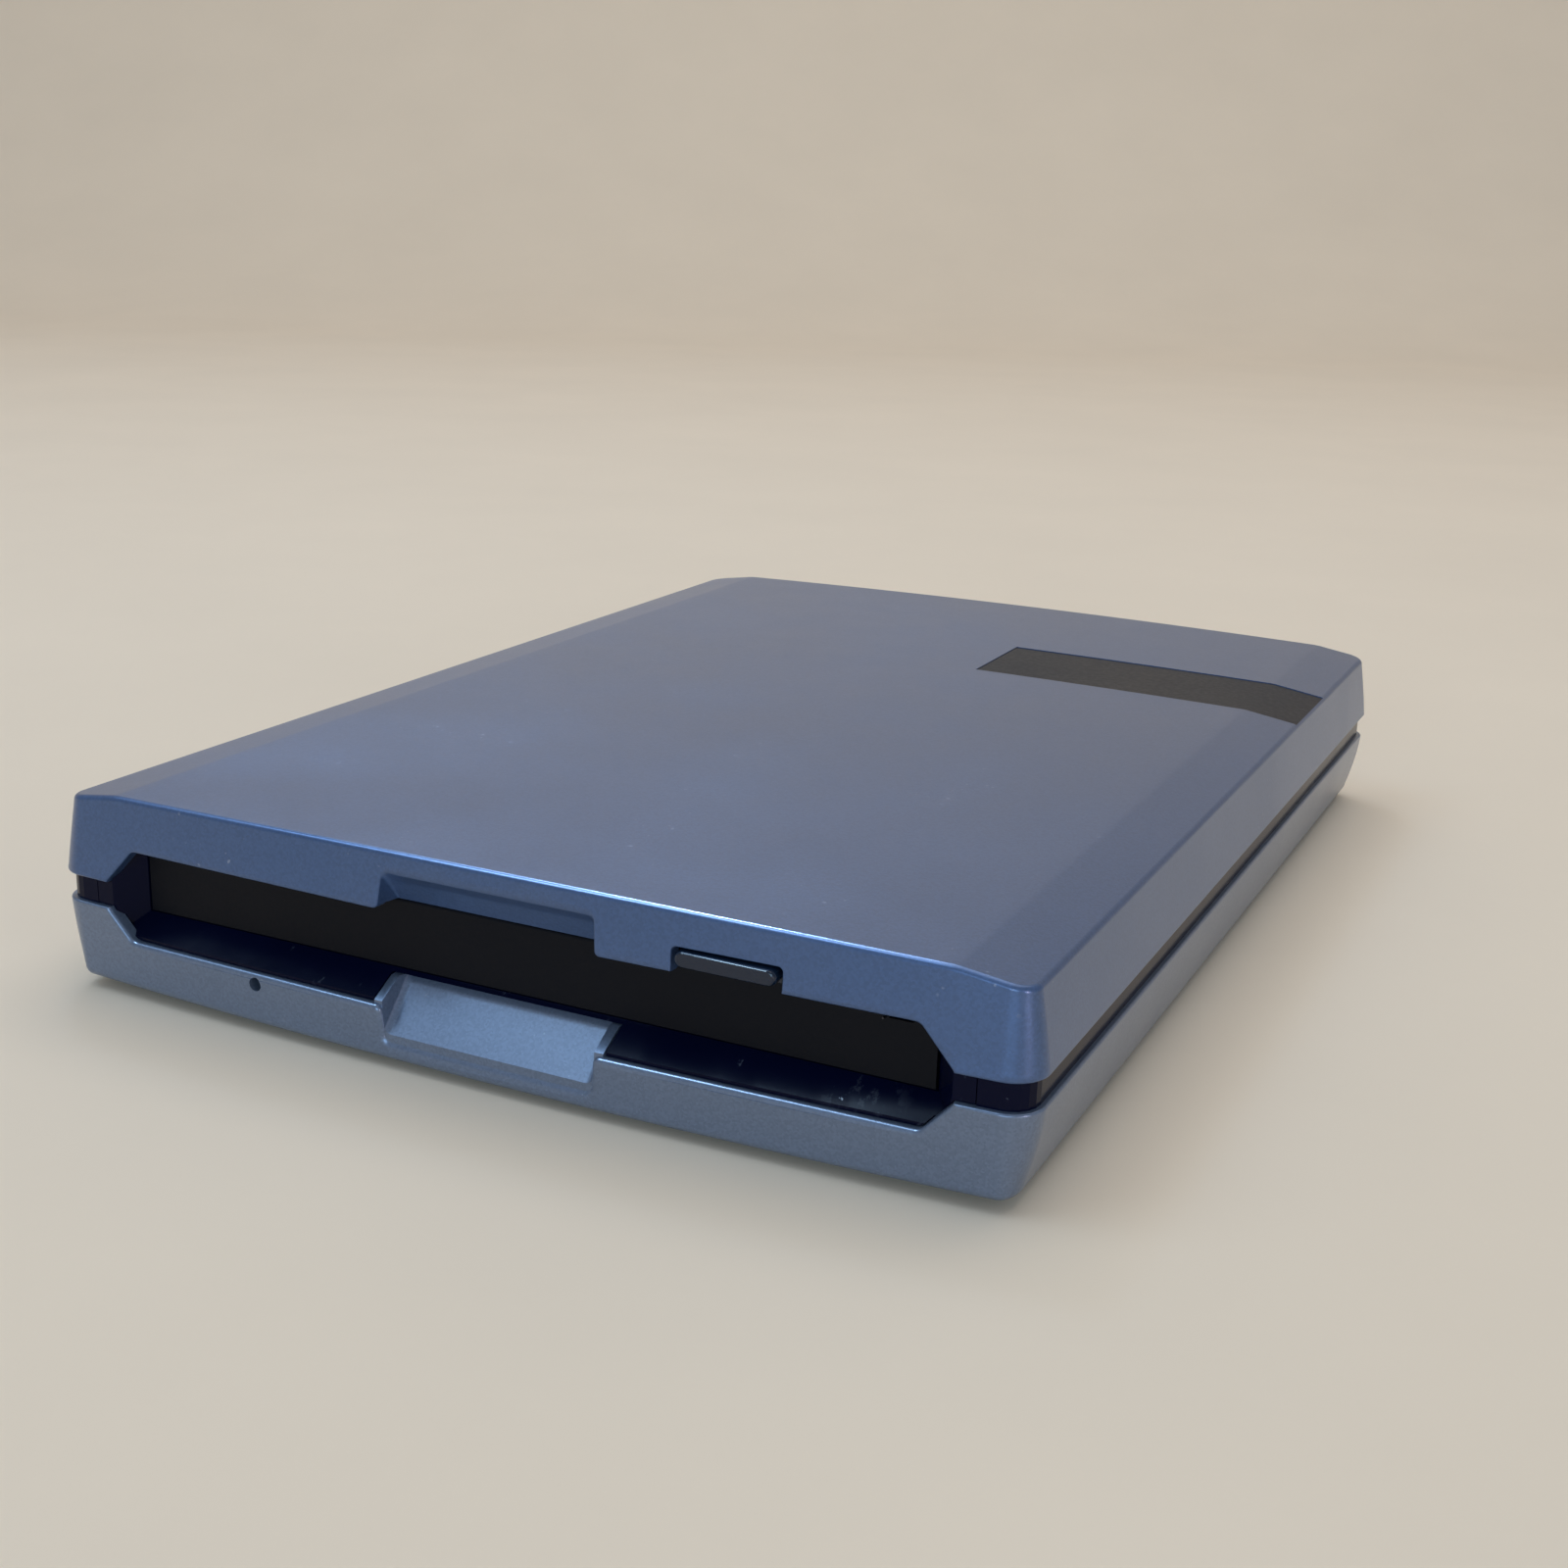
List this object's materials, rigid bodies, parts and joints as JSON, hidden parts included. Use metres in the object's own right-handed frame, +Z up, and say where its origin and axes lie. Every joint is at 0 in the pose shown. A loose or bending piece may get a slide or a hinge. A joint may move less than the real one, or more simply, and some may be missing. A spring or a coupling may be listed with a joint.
{
  "type": "external magneto-optical drive",
  "caption": "Slim two-shell external drive with a sprung front flap, an eject button, a cartridge holder lowered by a cam slide, a spindle and an optical head.",
  "frame": {"origin": "under the middle of the case, on the plane that the feet stand on", "axes": "+Z up, -Y out of the front mouth, +X to the right when facing the front"},
  "size_m": [0.112, 0.1531, 0.0231],
  "materials": {
    "shell": "blue-grey metallic paint on moulded plastic",
    "dark_frame": "moulded black plastic",
    "door": "matt black plastic",
    "button": "smoked clear plastic",
    "label": "dark glossy plate",
    "rubber": "black rubber",
    "foam": "dark foam",
    "screw_steel": "plated steel",
    "spring_steel": "drawn spring wire",
    "sheet_steel": "plated sheet steel",
    "cast_zinc": "cast and pressed light alloy",
    "dark_metal": "dark coated metal",
    "brass": "turned brass",
    "nylon": "natural nylon",
    "black_plastic": "black plastic",
    "lens_glass": "coated lens glass",
    "copper_wire": "enamelled copper",
    "board": "solder-masked circuit board",
    "chip": "moulded chip package",
    "socket_metal": "nickel-plated shell",
    "led": "clear lamp body",
    "flat_cable": "pale flat cable"
  },
  "bodies": {
    "case": {"upper_shell": "shell", "lower_shell": "shell", "mid_frame": "dark_frame", "front_bezel": "dark_frame", "door_spring": "spring_steel", "button_spring": "spring_steel", "eject_switch": "black_plastic", "front_board": "board", "status_led": "led", "label_plate": "label", "rubber_feet": "rubber", "case_screws": "screw_steel", "chassis": "sheet_steel", "chassis_dampers": "rubber", "chassis_screws": "screw_steel", "top_cover": "sheet_steel", "cover_screws": "screw_steel", "foam_pads": "foam", "motor_bracket": "sheet_steel", "loading_motor": "sheet_steel", "spindle_motor": "dark_metal", "optics_base": "cast_zinc", "guide_rails": "sheet_steel", "coil_magnets": "dark_metal", "coil_yokes": "sheet_steel", "carriage_flex": "copper_wire", "optics_block": "cast_zinc", "laser_diode": "brass", "detector_board": "board", "bias_magnet": "copper_wire", "control_board": "board", "board_screws": "screw_steel", "control_chips": "chip", "interface_board": "board", "interface_screws": "screw_steel", "usb_socket": "socket_metal", "dc_jack": "black_plastic", "interface_chips": "chip", "link_cable": "flat_cable"},
    "door": {"slot_door": "door"},
    "button": {"eject_button": "button", "switch_plunger": "nylon"},
    "slide": {"cam_slide": "cast_zinc"},
    "holder": {"cartridge_holder": "cast_zinc", "lever_spring": "spring_steel"},
    "lever": {"shutter_lever": "cast_zinc"},
    "gear": {"drive_gear": "nylon"},
    "worm": {"motor_worm": "brass"},
    "spindle": {"turntable": "sheet_steel"},
    "carriage": {"optical_carriage": "dark_metal", "voice_coils": "copper_wire"},
    "lens": {"lens_holder": "black_plastic", "objective_lens": "lens_glass"}
  },
  "joints": [
    {"name": "door_hinge", "type": "hinge", "parent": "case", "child": "door", "pos_m": [0, -0.07155, 0.01645], "axis": [1, 0, 0], "range_deg": [0, 90], "stiffness_Nm_per_rad": 0.002, "springref_deg": -28.65, "deforming": ["door_spring"]},
    {"name": "button_press", "type": "slide", "parent": "case", "child": "button", "axis": [0, 1, 0], "range_m": [0, 0.0006], "stiffness_N_per_m": 600, "springref_m": -0.0003, "deforming": ["button_spring"]},
    {"name": "slide_travel", "type": "slide", "parent": "case", "child": "slide", "axis": [0, 1, 0], "range_m": [-0.006, 0]},
    {"name": "holder_drop", "type": "slide", "parent": "case", "child": "holder", "axis": [0, 0, 1], "range_m": [-0.002, 0]},
    {"name": "lever_swing", "type": "hinge", "parent": "holder", "child": "lever", "pos_m": [-0.012, 0.0155, 0.016], "axis": [0, 0, -1], "range_deg": [0, 33], "stiffness_Nm_per_rad": 0.001, "springref_deg": -17.19, "deforming": ["lever_spring"]},
    {"name": "gear_spin", "type": "hinge", "parent": "case", "child": "gear", "pos_m": [0.04158, 0.035, 0.0114], "axis": [0, 0, 1], "range_deg": [-69.3, 0]},
    {"name": "worm_spin", "type": "hinge", "parent": "case", "child": "worm", "pos_m": [0.03453, 0.035, 0.0114], "axis": [0, 1, 0], "range_deg": [-1385, 0]},
    {"name": "spindle_spin", "type": "hinge", "parent": "case", "child": "spindle", "pos_m": [0, -0.0225, 0.0062], "axis": [0, 0, 1], "continuous": true},
    {"name": "carriage_seek", "type": "slide", "parent": "case", "child": "carriage", "axis": [0, 1, 0], "range_m": [0, 0.0175], "deforming": ["carriage_flex"]},
    {"name": "lens_focus", "type": "slide", "parent": "carriage", "child": "lens", "axis": [0, 0, 1], "range_m": [-0.0003, 0.0003], "stiffness_N_per_m": 30}
  ],
  "couplings": [
    {"joint": "holder_drop", "follows": "slide_travel", "ratio": 0.33333},
    {"joint": "gear_spin", "follows": "slide_travel", "rad_per_m": 200},
    {"joint": "worm_spin", "follows": "slide_travel", "rad_per_m": 4000}
  ]
}
